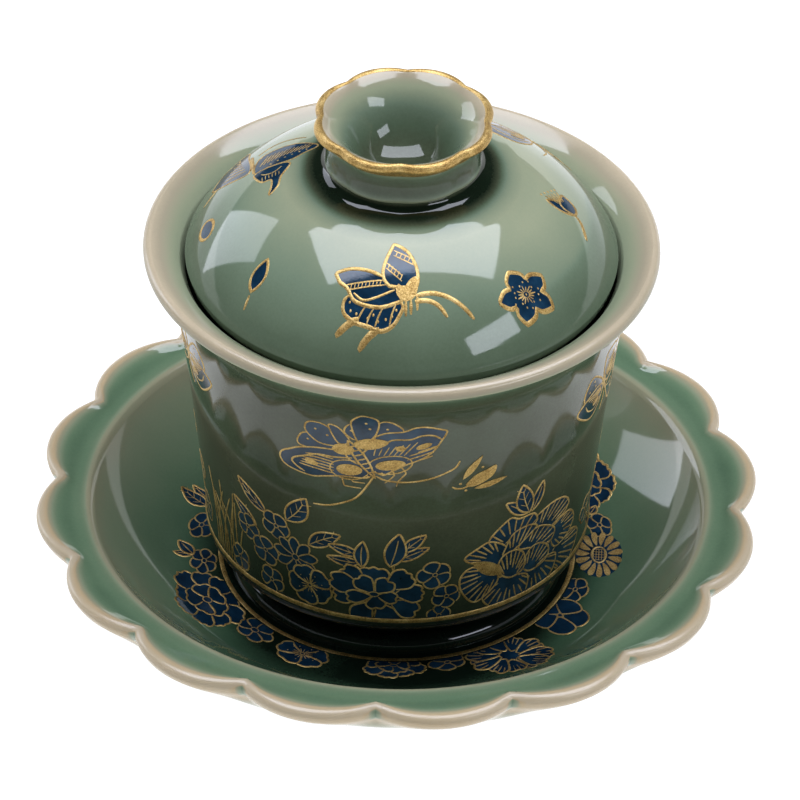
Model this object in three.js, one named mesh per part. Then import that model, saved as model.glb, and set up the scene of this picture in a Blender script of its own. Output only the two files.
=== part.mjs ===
// Celadon gaiwan: a lobed saucer, a straight-sided bowl with a flared lip, and
// a domed lid whose cup-shaped knob is formed apart and luted on with slip.
// Millimetres, +Z up. The origin is the centre of the saucer's foot, on the
// surface that the saucer stands on, and +Z is the common axis of every piece.
// One notch of the saucer's edge points along -Y.
import * as THREE from 'three';

// Clearance between pieces that rest on each other.
const GAP = 0.3;

// Heights of the three levels that the pieces share.
const FLOOR_TOP = 7.4; // glazed floor of the saucer's well
const RIM_TOP = 80; // top of the bowl's lip
const DOME_TOP = 96.5; // flat on top of the lid, round the knob
const SEAT_TOP = 94.3; // bottom of the socket in that flat, which the knob stands in

// Saucer: scalloped edge, ridge round the well, and the bead round the foot.
const SAUCER_LOBES = 16;
const SAUCER_TIP_RADIUS = 68.5;
const SAUCER_NOTCH_RADIUS = 64.8;
const SCALLOP_START = 59.5; // inside this radius the saucer is round
const RIDGE_RADIUS = 58.2;
const RIDGE_TOP = 20.5;
const SAUCER_EDGE_TOP = 21.4;
const WELL_WALL = 38; // radius of the well's curved side
const WELL_FILLET = 8.5; // radius between that side and the floor
const BEAD_RADIUS = 28.9;
const BEAD_SECTION = 2.8;
const FOOT_INNER = 34;
const FOOT_OUTER = 38.5;
const FOOT_RECESS = 2.8; // height of the underside inside the foot

// Bowl: wall, lip and foot.
const LIP_RADIUS = 47.8;
const LIP_SECTION = 1.45;
const WALL_BOTTOM_RADIUS = 36.3;
const WALL_BOTTOM = 18.2;
const WALL_BOTTOM_ROUND = 3;
const BOWL_FOOT_OUTER = 25.2;
const BOWL_FOOT_INNER = 21.8;
const BOWL_FLOOR = 14.2;

// Lid and its knob.
const LID_RADIUS = 40.1;
const LID_EDGE = 77.4; // height of the lid's widest circle
const LID_BOTTOM = 74.9;
const SOCKET_RADIUS = 12.1;
const KNOB_LOBES = 8;
const KNOB_TIP_RADIUS = 16.8;
const KNOB_NOTCH_RADIUS = 15.7;
const KNOB_SCALLOP_START = 13.2;
const KNOB_NECK = 11.8;
const KNOB_TOP = 107.5;
const KNOB_CUP_BOTTOM = 95.4;
const KNOB_TURN = THREE.MathUtils.degToRad(1.2); // knob's notches against the saucer's

// Facets round the axis.
const SAUCER_SEGMENTS = SAUCER_LOBES * 4;
const KNOB_SEGMENTS = KNOB_LOBES * 4;
const ROUND_SEGMENTS = 40;

// A smooth curve through [radius, height] points, as a given number of steps.
function smooth(steps, points) {
  const curve = new THREE.SplineCurve(points.map(([r, z]) => new THREE.Vector2(r, z)));
  return curve.getPoints(steps);
}

// Straight lines between [radius, height] points.
function straight(points) {
  return points.map(([r, z]) => new THREE.Vector2(r, z));
}

// Part of a circle in the profile's plane, from one angle to another in degrees.
function arc(steps, centreRadius, centreHeight, radius, fromDegrees, toDegrees) {
  const path = new THREE.Path();
  const from = THREE.MathUtils.degToRad(fromDegrees);
  const to = THREE.MathUtils.degToRad(toDegrees);
  path.absarc(centreRadius, centreHeight, radius, from, to, toDegrees < fromDegrees);
  return path.getPoints(steps);
}

// Radius of a scalloped outline at an angle: one circular arc for each lobe.
function scallop(angle, lobes, tipRadius, notchRadius) {
  const half = Math.PI / lobes;
  const step = 2 * half;
  const offset = angle - step * Math.floor(angle / step) - half;
  const halfChord = notchRadius * Math.sin(half);
  const rise = tipRadius - notchRadius * Math.cos(half);
  const arcRadius = (halfChord ** 2 + rise ** 2) / (2 * rise);
  const centre = tipRadius - arcRadius;
  return centre * Math.cos(offset) + Math.sqrt(arcRadius ** 2 - (centre * Math.sin(offset)) ** 2);
}

// Solid of revolution from a profile that starts and ends on the axis.
function revolve(profile, segments) {
  const geometry = new THREE.LatheGeometry(profile, segments);
  geometry.rotateX(Math.PI / 2);
  return geometry;
}

// Pulls the outer part of a solid of revolution in to a scalloped outline. The
// pull grows from nothing at the start radius to its full depth at the tip.
function scalloped(geometry, lobes, tipRadius, notchRadius, startRadius) {
  const position = geometry.attributes.position;
  for (let i = 0; i < position.count; i += 1) {
    const x = position.getX(i);
    const y = position.getY(i);
    const radius = Math.hypot(x, y);
    if (radius > startRadius) {
      const edge = scallop(Math.atan2(y, x), lobes, tipRadius, notchRadius);
      const share = THREE.MathUtils.smoothstep(radius, startRadius, tipRadius);
      const pulled = radius - share * (tipRadius - edge);
      position.setXY(i, (x * pulled) / radius, (y * pulled) / radius);
    }
  }
  return geometry;
}

function saucerGeometry() {
  const profile = [
    ...straight([
      [0, FOOT_RECESS],
      [FOOT_INNER - 1.5, FOOT_RECESS],
      [FOOT_INNER, 0],
      [FOOT_OUTER, 0],
      [FOOT_OUTER + 1, 1.4],
    ]),
    ...smooth(5, [[43, 2.5], [48, 4.5], [54, 8], [60, 12.8], [65, 17], [67.2, 19]]),
    ...smooth(3, [[SAUCER_TIP_RADIUS, 20.1], [67.9, 21.2], [66.6, SAUCER_EDGE_TOP], [65, 20.8]]),
    ...straight([[62, 20.2], [RIDGE_RADIUS + 1.2, 20.3], [RIDGE_RADIUS, RIDGE_TOP]]),
    ...arc(4, 26.56, WELL_WALL + 3.9, WELL_WALL, -36, -61.8),
    ...arc(3, 40.5, FLOOR_TOP + WELL_FILLET, WELL_FILLET, -61.8, -90).slice(1),
    ...arc(6, BEAD_RADIUS, FLOOR_TOP, BEAD_SECTION, 0, 180),
    ...straight([[0, FLOOR_TOP]]),
  ];
  const round = revolve(profile, SAUCER_SEGMENTS);
  return scalloped(round, SAUCER_LOBES, SAUCER_TIP_RADIUS, SAUCER_NOTCH_RADIUS, SCALLOP_START);
}

function bowlGeometry() {
  const footBottom = FLOOR_TOP + GAP;
  const lipCentre = LIP_RADIUS - LIP_SECTION;
  const profile = [
    ...straight([
      [0, 11.2],
      [BOWL_FOOT_INNER - 3.8, 11],
      [BOWL_FOOT_INNER, footBottom + 1.6],
      [BOWL_FOOT_INNER + 0.8, footBottom],
      [BOWL_FOOT_OUTER - 0.6, footBottom],
      [BOWL_FOOT_OUTER, footBottom + 1.4],
    ]),
    ...straight([[BOWL_FOOT_OUTER + 0.4, 12], [28.9, 13.3]]),
    ...arc(3, WALL_BOTTOM_RADIUS - WALL_BOTTOM_ROUND, WALL_BOTTOM, WALL_BOTTOM_ROUND, -75, 0),
    ...smooth(7, [
      [36.4, 23],
      [37.3, 30.5],
      [38.9, 44],
      [40.3, 58],
      [41.3, 64],
      [42.3, 69],
      [43.2, 72.5],
      [44.7, 75.8],
    ]),
    ...arc(4, lipCentre, RIM_TOP - LIP_SECTION, LIP_SECTION, -20, 90),
    ...straight([[45, 79.2], [43.2, 78.1], [41.4, 76.7]]),
    ...smooth(7, [[40.2, 75], [39.5, 72], [38.2, 64.5], [36.6, 54], [35.5, 42], [34.4, 30], [32.6, 22.5]]),
    ...smooth(4, [[30.2, 18.6], [26, 15.8], [20, 14.6], [12, BOWL_FLOOR]]),
    ...straight([[0, BOWL_FLOOR]]),
  ];
  return revolve(profile, ROUND_SEGMENTS);
}

function lidGeometry() {
  const profile = [
    ...straight([[0, 93.2]]),
    ...smooth(5, [[12, 93], [20, 91.3], [27, 87.9], [33, 82.8], [36.2, 77.6]]),
    ...smooth(4, [[37.2, 75.6], [38.4, LID_BOTTOM], [39.6, 75.5], [LID_RADIUS, LID_EDGE]]),
    ...straight([[39.7, 78.7], [38.4, 80.4]]),
    ...smooth(7, [[36, 83.5], [32, 87.5], [27, 91.5], [22, 94.3], [17, 95.9], [13, DOME_TOP]]),
    ...straight([[SOCKET_RADIUS, DOME_TOP], [SOCKET_RADIUS, SEAT_TOP], [0, SEAT_TOP]]),
  ];
  return revolve(profile, ROUND_SEGMENTS);
}

function knobGeometry() {
  const base = SEAT_TOP + GAP;
  const profile = [
    ...straight([[0, base], [KNOB_NECK, base], [KNOB_NECK, 97], [KNOB_NECK + 0.5, 97.3], [14.2, 97.9]]),
    ...smooth(3, [[14.6, 98.4], [14.3, 101.5], [14.8, 104.6]]),
    ...smooth(4, [[16, 105.5], [KNOB_TIP_RADIUS, 106.5], [15.9, KNOB_TOP], [14.7, 106.9]]),
    ...smooth(9, [
      [13.4, 106.1],
      [12, 104.9],
      [10.7, 103.2],
      [9.6, 101.3],
      [8.4, 99.4],
      [7.2, 97.9],
      [6, 96.8],
      [4.6, 96],
      [3, 95.55],
      [1.2, KNOB_CUP_BOTTOM],
    ]),
    ...straight([[0, KNOB_CUP_BOTTOM]]),
  ];
  const round = revolve(profile, KNOB_SEGMENTS);
  return scalloped(round, KNOB_LOBES, KNOB_TIP_RADIUS, KNOB_NOTCH_RADIUS, KNOB_SCALLOP_START);
}

// Grey-green glaze, fired glossy. The saucer's is a little bluer and deeper.
function glaze(color) {
  return new THREE.MeshStandardMaterial({ color, roughness: 0.12, metalness: 0 });
}

function piece(name, geometry, material) {
  const mesh = new THREE.Mesh(geometry, material);
  mesh.name = name;
  return mesh;
}

const saucer = piece('saucer', saucerGeometry(), glaze(0x7d9c84));
const bowl = piece('bowl', bowlGeometry(), glaze(0x87977f));
const lid = piece('lid', lidGeometry(), glaze(0x8aa088));
const lidKnob = piece('lid_knob', knobGeometry(), glaze(0x8fa38b));
lidKnob.rotation.z = KNOB_TURN;

const gaiwan = new THREE.Group();
gaiwan.add(saucer, bowl, lid, lidKnob);

export default gaiwan;
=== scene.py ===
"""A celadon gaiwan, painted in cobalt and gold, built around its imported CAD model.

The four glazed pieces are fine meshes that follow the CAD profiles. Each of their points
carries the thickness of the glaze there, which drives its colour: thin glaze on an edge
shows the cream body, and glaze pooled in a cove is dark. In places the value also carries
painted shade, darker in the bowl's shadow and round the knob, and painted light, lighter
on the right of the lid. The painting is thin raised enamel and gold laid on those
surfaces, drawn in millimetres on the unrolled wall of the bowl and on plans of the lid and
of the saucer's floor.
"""
from math import atan2, ceil, cos, degrees, dist, exp, pi, radians, sin, sqrt

import bpy
import numpy as np
from mathutils import Matrix, Vector
from mathutils.geometry import delaunay_2d_cdt


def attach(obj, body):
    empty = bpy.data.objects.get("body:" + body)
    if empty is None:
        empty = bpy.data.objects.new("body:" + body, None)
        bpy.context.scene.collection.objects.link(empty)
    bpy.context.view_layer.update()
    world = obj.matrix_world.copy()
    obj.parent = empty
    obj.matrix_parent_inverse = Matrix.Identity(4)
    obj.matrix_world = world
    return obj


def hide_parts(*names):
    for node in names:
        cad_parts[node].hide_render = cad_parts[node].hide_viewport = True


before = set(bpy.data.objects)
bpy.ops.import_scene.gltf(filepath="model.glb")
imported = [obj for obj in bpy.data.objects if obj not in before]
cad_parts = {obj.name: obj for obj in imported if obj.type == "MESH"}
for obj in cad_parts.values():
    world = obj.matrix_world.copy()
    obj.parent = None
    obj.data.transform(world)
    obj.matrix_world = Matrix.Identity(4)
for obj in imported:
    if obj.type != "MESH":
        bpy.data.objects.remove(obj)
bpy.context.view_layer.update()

MM = 0.001

# Camera: where it looks, and its place round that point.
CAMERA_TARGET = Vector((0.00015, 0.00001, 0.0429))
CAMERA_AZIMUTH = radians(3.0)
CAMERA_ELEVATION = radians(36.87)
CAMERA_DISTANCE = 1.44
CAMERA_ROLL = radians(0.953)
CAMERA_LENS = 345.8

SOFTBOX_AIM = Vector((0, 0, 0.06))
SOFTBOX_COLOUR = (0.95, 0.98, 1.11)

# Spacing of the points along a profile, in mm.
PROFILE_STEP = 0.5
FLAT_STEP = 1.5
CORNER_ROUND = 0.35
SAME_POINT = 0.02  # closer points of a profile are one point
SHARP_TURN = radians(20)

SAUCER_SEGMENTS = 336
ROUND_SEGMENTS = 256
KNOB_SEGMENTS = 192

# Scalloped outlines, as in the CAD model: lobes, tip and notch radius, and the radius
# inside which the piece is round.
SAUCER_SCALLOP = (16, 68.5, 64.8, 59.5)
KNOB_SCALLOP = (8, 16.8, 15.7, 13.2)
NOTCH_FILLET = 0.16
KNOB_TURN = radians(1.2)


def smoothstep(value, low, high):
    t = np.clip((value - low) / (high - low), 0, 1)
    return t * t * (3 - 2 * t)


# ---- Profiles: lists of (radius, height, glaze thickness from 0 to 1), in mm ----

def blend_points(a, b, share):
    return tuple(p + (q - p) * share for p, q in zip(a, b))


def straight(*points, step=FLAT_STEP):
    """Points on straight lines through the given points."""
    path = [points[0]]
    for a, b in zip(points, points[1:]):
        count = max(1, ceil(dist(a[:2], b[:2]) / step))
        path += [blend_points(a, b, k / count) for k in range(1, count + 1)]
    return path


def smooth(*points, step=PROFILE_STEP):
    """Points on a uniform Catmull-Rom curve through the given points."""
    path = [points[0]]
    last = len(points) - 1
    for k in range(last):
        before, a, b, after = points[max(k - 1, 0)], points[k], points[k + 1], points[min(k + 2, last)]
        count = max(2, ceil(dist(a[:2], b[:2]) / step))
        for i in range(1, count + 1):
            t = i / count
            row = []
            for p0, p1, p2, p3 in zip(before, a, b, after):
                v1, v2 = (p2 - p0) / 2, (p3 - p1) / 2
                cubic = 2 * p1 - 2 * p2 + v1 + v2
                square = -3 * p1 + 3 * p2 - 2 * v1 - v2
                row.append(((cubic * t + square) * t + v1) * t + p1)
            path.append(tuple(row))
    return path


def arc(centre_r, centre_z, radius, start, end, glaze_start, glaze_end, glaze_middle=None):
    """Points on part of a circle, between two angles in degrees."""
    middle = (glaze_start + glaze_end) / 2 if glaze_middle is None else glaze_middle
    count = max(6, ceil(abs(radians(end - start)) * radius / (0.6 * PROFILE_STEP)))
    path = []
    for k in range(count + 1):
        t = k / count
        angle = radians(start + (end - start) * t)
        hump = 4 * t * (1 - t)
        glaze = glaze_start + (glaze_end - glaze_start) * t
        glaze += hump * (middle - (glaze_start + glaze_end) / 2)
        path.append((centre_r + radius * cos(angle), centre_z + radius * sin(angle), glaze))
    return path


def soften(path, closed=False, corner=CORNER_ROUND):
    """Rounds the sharp corners of a profile, as a fired glaze does."""
    clean = [path[0]]
    for point in path[1:]:
        if dist(point[:2], clean[-1][:2]) > SAME_POINT:
            clean.append(point)
    if closed and dist(clean[0][:2], clean[-1][:2]) < SAME_POINT:
        clean.pop()
    count = len(clean)
    result = []
    for k, point in enumerate(clean):
        if not closed and k in (0, count - 1):
            result.append(point)
            continue
        before, after = clean[k - 1], clean[(k + 1) % count]
        inward = Vector((point[0] - before[0], point[1] - before[1]))
        outward = Vector((after[0] - point[0], after[1] - point[1]))
        if inward.angle(outward, 0) < SHARP_TURN:
            result.append(point)
            continue
        reach_in = min(corner, inward.length * 0.45) / inward.length
        reach_out = min(corner, outward.length * 0.45) / outward.length
        start = blend_points(point, before, reach_in)
        end = blend_points(point, after, reach_out)
        for i in range(5):
            t = i / 4
            first = blend_points(start, point, t)
            second = blend_points(point, end, t)
            result.append(blend_points(first, second, t))
    return result


def overlay(path, proud, sunk):
    """The closed section of a thin layer over part of a profile, standing proud of it."""
    rows = np.array([p[:2] for p in path])
    along = np.gradient(rows, axis=0)
    along /= np.linalg.norm(along, axis=1)[:, None]
    outward = np.stack([along[:, 1], -along[:, 0]], axis=1)
    taper = np.clip(np.minimum(np.arange(len(rows)), np.arange(len(rows))[::-1]) / 2, 0, 1)[:, None]
    outer = rows + outward * (proud * taper - sunk * (1 - taper))
    inner = rows - outward * (sunk * 1.6)
    loop = [tuple(p) for p in outer] + [tuple(p) for p in inner[::-1]]
    return [(r, z, 0.5) for r, z in loop]


def scallop(angle, lobes, tip, notch):
    """Radius of an outline with one circular arc for each lobe, its notches filleted."""
    half = pi / lobes
    rise = tip - notch * cos(half)
    radius = ((notch * sin(half)) ** 2 + rise ** 2) / (2 * rise)
    centre = tip - radius
    offset = np.mod(angle, 2 * half) - half

    def edge(turn):
        across = np.minimum((centre * np.sin(turn)) ** 2, radius ** 2)
        return centre * np.cos(turn) + np.sqrt(radius ** 2 - across)

    own = edge(offset)
    neighbour = edge(2 * half - np.abs(offset))
    return (own + neighbour) / 2 + np.sqrt(((own - neighbour) / 2) ** 2 + (NOTCH_FILLET / 2) ** 2)


def lobe_place(angle, lobes):
    """0 in the middle of a lobe and 1 at a notch."""
    half = pi / lobes
    return np.abs(np.mod(angle, 2 * half) - half) / half


# ---- Meshes ----

def mesh_object(name, vertices, faces):
    mesh = bpy.data.meshes.new(name)
    mesh.from_pydata(vertices, [], faces)
    mesh.validate()
    mesh.shade_smooth()
    piece = bpy.data.objects.new(name, mesh)
    bpy.context.scene.collection.objects.link(piece)
    return piece


def bridge(low, high, count):
    """Quads between two closed rings of points that start at the given numbers."""
    return [(low + k, high + k, high + (k + 1) % count, low + (k + 1) % count) for k in range(count)]


def revolve(name, path, segments, outline=None, turn=0.0, closed=False, regulate=None):
    """A solid of revolution in metres, with its glaze thickness as a point attribute.

    path is a profile from axis to axis, or a closed section. outline scallops it, and
    regulate(angle, radius, height, glaze) changes the glaze from place to place."""
    rings = path if closed else path[1:-1]
    rows = np.array(rings)
    angles = turn + np.arange(segments) * 2 * pi / segments
    radius, height, glaze = (np.repeat(rows[:, k][:, None], segments, axis=1) for k in range(3))
    lobe_angle = np.repeat((angles - turn)[None, :], len(rows), axis=0)
    if regulate:
        glaze = regulate(lobe_angle, radius, height, glaze)
    if outline:
        lobes, tip, notch, start = outline
        share = smoothstep(radius, start, tip)
        radius = radius - share * (tip - scallop(lobe_angle, lobes, tip, notch))
    vertices = np.stack([radius * np.cos(angles), radius * np.sin(angles), height], axis=-1).reshape(-1, 3)
    values = glaze.reshape(-1)
    faces = []
    for i in range(len(rows) if closed else len(rows) - 1):
        low, high = i * segments, (i + 1) % len(rows) * segments
        for k in range(segments):
            after = (k + 1) % segments
            faces.append((low + k, low + after, high + after, high + k))
    if not closed:
        bottom, top = len(vertices), len(vertices) + 1
        ends = [(0, 0, path[0][1]), (0, 0, path[-1][1])]
        vertices = np.concatenate([vertices, ends])
        values = np.append(values, [path[0][2], path[-1][2]])
        high = (len(rows) - 1) * segments
        for k in range(segments):
            after = (k + 1) % segments
            faces.append((bottom, after, k))
            faces.append((top, high + k, high + after))
    piece = mesh_object(name, (vertices * MM).tolist(), faces)
    attribute = piece.data.attributes.new("glaze", "FLOAT", "POINT")
    attribute.data.foreach_set("value", np.clip(values, 0, 1).astype(np.float32))
    return piece


# ---- Materials ----

class Nodes:
    """Short names for adding nodes to a material and linking them."""

    def __init__(self, name):
        self.material = bpy.data.materials.new(name)
        self.material.use_nodes = True
        self.tree = self.material.node_tree
        self.shader = self.tree.nodes["Principled BSDF"]

    def add(self, kind, **settings):
        node = self.tree.nodes.new(kind)
        for key, value in settings.items():
            if key in node.inputs:
                node.inputs[key].default_value = value
            else:
                setattr(node, key, value)
        return node

    def feed(self, socket, value):
        """Links a socket, or sets a number or a colour on it directly."""
        if isinstance(value, bpy.types.NodeSocket):
            self.tree.links.new(value, socket)
        else:
            socket.default_value = value

    def shade(self, **inputs):
        """Feeds the shader's inputs, with _ for a space in their names."""
        for name, value in inputs.items():
            self.feed(self.shader.inputs[name.replace("_", " ")], value)
        return self.material

    def place(self):
        return self.add("ShaderNodeTexCoord").outputs["Object"]

    def noise(self, place, scale, detail=2.0, roughness=0.5):
        node = self.add("ShaderNodeTexNoise", Scale=scale, Detail=detail, Roughness=roughness)
        self.feed(node.inputs["Vector"], place)
        return node.outputs["Fac"]

    def math(self, operation, first, second):
        node = self.add("ShaderNodeMath", operation=operation)
        for socket, value in zip(node.inputs, (first, second)):
            self.feed(socket, value)
        return node.outputs["Value"]

    def ramp(self, factor, stops):
        node = self.add("ShaderNodeValToRGB")
        elements = node.color_ramp.elements
        while len(elements) < len(stops):
            elements.new(0.5)
        for element, (position, colour) in zip(elements, stops):
            element.position = position
            element.color = (*colour, 1)
        self.feed(node.inputs["Fac"], factor)
        return node.outputs["Color"]

    def span(self, factor, low, high, start=0.0, end=1.0):
        """Takes the range from start to end to the range from low to high."""
        node = self.add("ShaderNodeMapRange")
        settings = {"Value": factor, "From Min": start, "From Max": end, "To Min": low, "To Max": high}
        for name, value in settings.items():
            self.feed(node.inputs[name], value)
        return node.outputs["Result"]

    def bump(self, height, distance, strength=1.0, normal=None):
        node = self.add("ShaderNodeBump", Strength=strength, Distance=distance)
        self.feed(node.inputs["Height"], height)
        if normal:
            self.feed(node.inputs["Normal"], normal)
        return node.outputs["Normal"]


CREAM = (0.44, 0.372, 0.262)
TAN = (0.33, 0.295, 0.21)

# Colour of the glaze from the thinnest to the thickest.
CELADON = [
    (0.0, CREAM),
    (0.16, TAN),
    (0.34, (0.275, 0.30, 0.2)),
    (0.6, (0.165, 0.215, 0.15)),
    (0.78, (0.095, 0.13, 0.083)),
    (0.88, (0.062, 0.074, 0.045)),
    (1.0, (0.012, 0.022, 0.012)),
]
SAUCER_CELADON = [
    (0.0, CREAM),
    (0.10, (0.43, 0.34, 0.21)),
    (0.20, (0.32, 0.30, 0.20)),
    (0.36, (0.235, 0.275, 0.18)),
    (0.6, (0.135, 0.205, 0.125)),
    (0.82, (0.058, 0.11, 0.066)),
    (1.0, (0.008, 0.016, 0.010)),
]


WAVY_BELOW, CALM_ABOVE = 0.076, 0.081  # metres: glaze ran in waves on the wall, but not on the lid
SATIN_BELOW = 0.22  # glaze thinner than this loses its gloss


def glaze_material(name, stops):
    """Glossy celadon: the colour follows the glaze thickness, with faint clouding, fine
    specks and the slightly uneven surface of a fired glaze. Thin glaze is satin."""
    n = Nodes(name)
    place = n.place()
    thickness = n.add("ShaderNodeAttribute", attribute_name="glaze").outputs["Fac"]
    clouds = n.math("MULTIPLY", n.math("SUBTRACT", n.noise(place, 55, 3), 0.5), 0.16)
    specks = n.math("MULTIPLY", n.math("SUBTRACT", n.noise(place, 1800, 4, 0.7), 0.5), 0.09)
    varied = n.math("ADD", thickness, n.math("ADD", clouds, specks))
    thin = n.math("MAXIMUM", n.math("SUBTRACT", SATIN_BELOW, thickness), 0.0)
    uneven = n.span(n.noise(place, 300, 2), 0.035, 0.085)
    height = n.add("ShaderNodeSeparateXYZ")
    n.feed(height.inputs["Vector"], place)
    calm = n.span(height.outputs["Z"], 1.0, 0.3, WAVY_BELOW, CALM_ABOVE)
    waves = n.bump(n.math("MULTIPLY", n.noise(place, 38, 1), calm), 0.00006)
    return n.shade(
        Base_Color=n.ramp(varied, stops),
        Roughness=n.math("ADD", uneven, n.math("MULTIPLY", thin, 0.9)),
        IOR=1.48,
        Normal=n.bump(n.noise(place, 420, 2), 0.0000035, normal=waves))


def gold_material():
    """Fired liquid gold: a satin metal with a sandy grain, browner where it is thin."""
    n = Nodes("fired_gold")
    grain, worn = n.noise(n.place(), 3600, 3, 0.7), n.noise(n.place(), 420, 3)
    mixed = n.math("ADD", n.math("MULTIPLY", grain, 0.65), n.math("MULTIPLY", worn, 0.35))
    stops = [(0.36, (0.22, 0.13, 0.04)), (0.5, (0.49, 0.335, 0.12)), (0.64, (0.72, 0.545, 0.25))]
    return n.shade(
        Base_Color=n.ramp(mixed, stops),
        Roughness=n.span(grain, 0.32, 0.58),
        Metallic=0.72,
        Normal=n.bump(grain, 0.00009, 0.8))


def cobalt_material():
    """Overglaze blue: a dark satin enamel, brushed on unevenly."""
    n = Nodes("cobalt_enamel")
    strokes, tooth = n.noise(n.place(), 260, 4, 0.6), n.noise(n.place(), 2500, 2)
    stops = [(0.25, (0.004, 0.017, 0.032)), (0.55, (0.010, 0.038, 0.070)), (0.85, (0.026, 0.076, 0.125))]
    return n.shade(
        Base_Color=n.ramp(strokes, stops),
        Roughness=n.span(tooth, 0.06, 0.14),
        IOR=1.52,
        Normal=n.bump(tooth, 0.000006))


def clay_material():
    """Bare fired body on the foot rings: pale buff, dry, with dark iron specks."""
    n = Nodes("bare_foot")
    specks, tooth = n.noise(n.place(), 3800, 2, 0.8), n.noise(n.place(), 2600, 4, 0.7)
    stops = [(0.28, (0.20, 0.13, 0.075)), (0.36, (0.52, 0.43, 0.32)), (0.8, (0.66, 0.57, 0.45))]
    return n.shade(
        Base_Color=n.ramp(specks, stops),
        Roughness=n.span(specks, 0.75, 0.95),
        Normal=n.bump(tooth, 0.00006, 0.7))


def floor_material():
    """White card sweep, with the faint tooth of card."""
    n = Nodes("white_card")
    return n.shade(
        Base_Color=n.ramp(n.noise(n.place(), 900, 3), [(0.3, (0.19, 0.19, 0.19)), (0.7, (0.22, 0.22, 0.22))]),
        Roughness=0.95,
        Specular_IOR_Level=0.0,
        Emission_Color=(1, 1, 1, 1),
        Emission_Strength=0.86)


MATERIALS = {
    "celadon_glaze": glaze_material("celadon_glaze", CELADON),
    "saucer_glaze": glaze_material("saucer_glaze", SAUCER_CELADON),
    "fired_gold": gold_material(),
    "cobalt_enamel": cobalt_material(),
    "bare_foot": clay_material(),
}


def dress(piece, body, slot, replaced=None):
    """Gives a piece the material of its slot and its body, and hides the CAD node it stands for."""
    piece.data.materials.clear()
    piece.data.materials.append(MATERIALS[slot])
    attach(piece, body)
    if replaced:
        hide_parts(replaced)
    return piece


# ---- Camera, floor and lights ----

def make_camera():
    data = bpy.data.cameras.new("camera")
    data.lens = CAMERA_LENS
    data.sensor_width = 36
    data.clip_start = 0.05
    camera = bpy.data.objects.new("camera", data)
    bpy.context.scene.collection.objects.link(camera)
    x, y, flat = sin(CAMERA_AZIMUTH), -cos(CAMERA_AZIMUTH), cos(CAMERA_ELEVATION)
    away = Vector((x * flat, y * flat, sin(CAMERA_ELEVATION)))
    camera.location = CAMERA_TARGET + away * CAMERA_DISTANCE
    facing = (-away).to_track_quat("-Z", "Y").to_matrix().to_4x4()
    turned = facing @ Matrix.Rotation(CAMERA_ROLL, 4, "Z")
    camera.rotation_euler = turned.to_euler()
    bpy.context.scene.camera = camera


def make_floor():
    """A wide white sweep that curves up all round, far from the object."""
    flat_radius, rise_radius, height = 1500, 2600, 450
    rows = [(r, 0.0) for r in (0, 60, 200, 600, flat_radius)]
    for k in range(1, 13):
        t = k / 12
        rows.append((flat_radius + (rise_radius - flat_radius) * sin(t * pi / 2),
                     height * (1 - cos(t * pi / 2))))
    segments = 96
    turns = [2 * pi * k / segments for k in range(segments)]
    vertices = [(r * cos(t) * MM, r * sin(t) * MM, z * MM) for r, z in rows[1:] for t in turns]
    centre = len(vertices)
    vertices.append((0, 0, 0))
    faces = [(centre, k, (k + 1) % segments) for k in range(segments)]
    for i in range(len(rows) - 2):
        faces += bridge(i * segments, (i + 1) * segments, segments)
    floor = mesh_object("floor", vertices, faces)
    floor.data.materials.append(floor_material())


def softbox(name, place, size, radiance, turn, level=False):
    """A rectangular softbox that faces the object, or straight down, turned about its own axis
    by some degrees."""
    light = bpy.data.lights.new(name, "AREA")
    light.shape = "RECTANGLE"
    light.size, light.size_y = size
    light.energy = radiance * pi * size[0] * size[1]
    light.color = SOFTBOX_COLOUR
    lamp = bpy.data.objects.new(name, light)
    bpy.context.scene.collection.objects.link(lamp)
    away = (Vector(place) - SOFTBOX_AIM).to_track_quat("Z", "Y").to_matrix().to_4x4()
    aim = Matrix.Identity(4) if level else away
    lamp.matrix_world = Matrix.Translation(place) @ aim @ Matrix.Rotation(radians(turn), 4, "Z")


def make_lights():
    softbox("overhead_softbox", (0.045, 0.10, 1.0), (1.30, 0.60), 5.8, 9, level=True)
    softbox("left_softbox", (-0.92, 0.53, 0.45), (0.38, 0.64), 3.1, -24)
    softbox("right_softbox", (0.86, -0.57, 0.755), (0.56, 0.22), 5.6, -2)
    world = bpy.data.worlds.new("studio")
    world.use_nodes = True
    world.node_tree.nodes["Background"].inputs["Color"].default_value = (0.96, 0.98, 1.0, 1)
    world.node_tree.nodes["Background"].inputs["Strength"].default_value = 0.04
    bpy.context.scene.world = world
    bpy.context.scene.view_settings.view_transform = "Standard"
    bpy.context.scene.view_settings.look = "Medium High Contrast"


make_camera()
make_floor()
make_lights()


# ---- The saucer ----

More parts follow.
